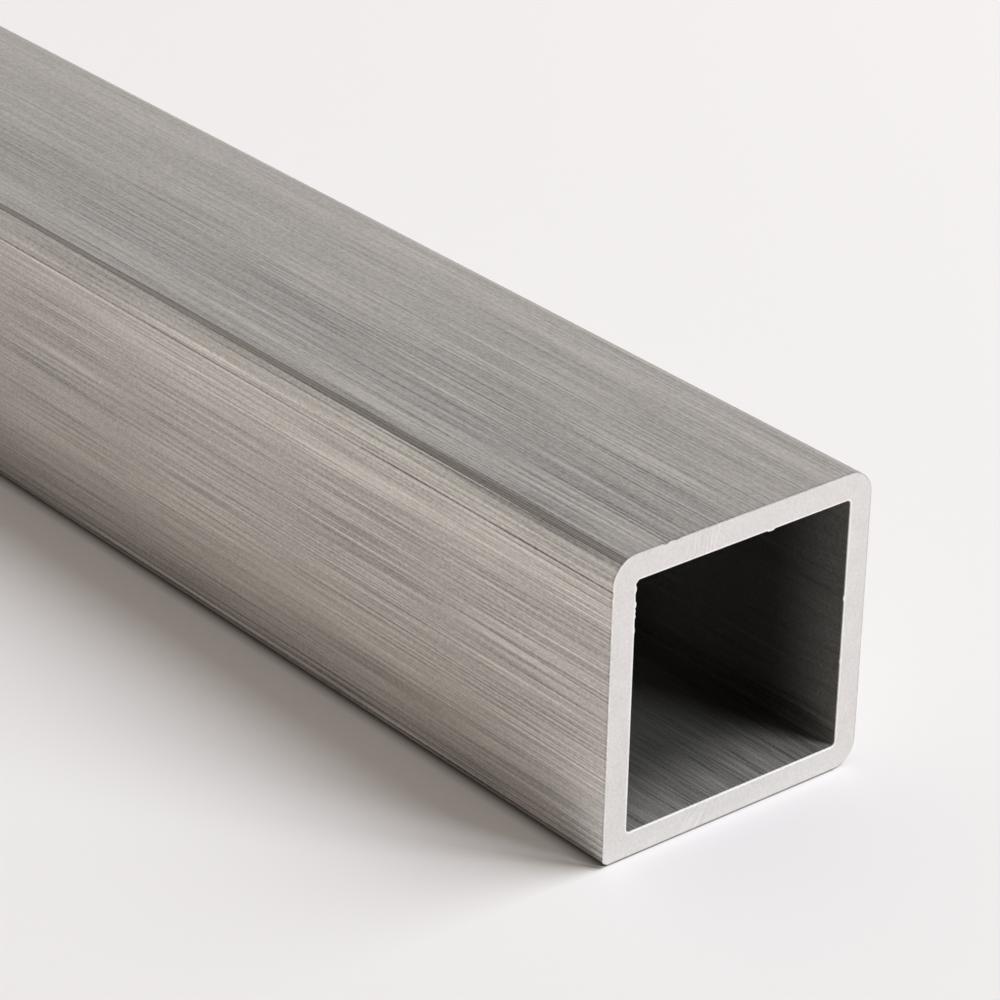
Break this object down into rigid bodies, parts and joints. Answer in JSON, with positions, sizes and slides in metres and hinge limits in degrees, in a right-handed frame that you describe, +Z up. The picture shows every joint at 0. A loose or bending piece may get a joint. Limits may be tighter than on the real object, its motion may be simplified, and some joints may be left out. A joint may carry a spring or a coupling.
{
  "type": "square metal tube",
  "caption": "Straight square steel tube with rounded corners, one of them nearly sharp, flat walls, an open square bore and both ends sawn square, lying on one side.",
  "frame": {"origin": "middle of the side that the tube rests on", "axes": "+X runs along the tube, +Y across it, +Z up out of the top side"},
  "size_m": [0.5, 0.035, 0.035],
  "materials": {
    "tube": "satin stainless steel with fine grain along the tube, and a matt sawn end"
  },
  "bodies": {
    "root": {"tube": "tube"}
  },
  "joints": []
}
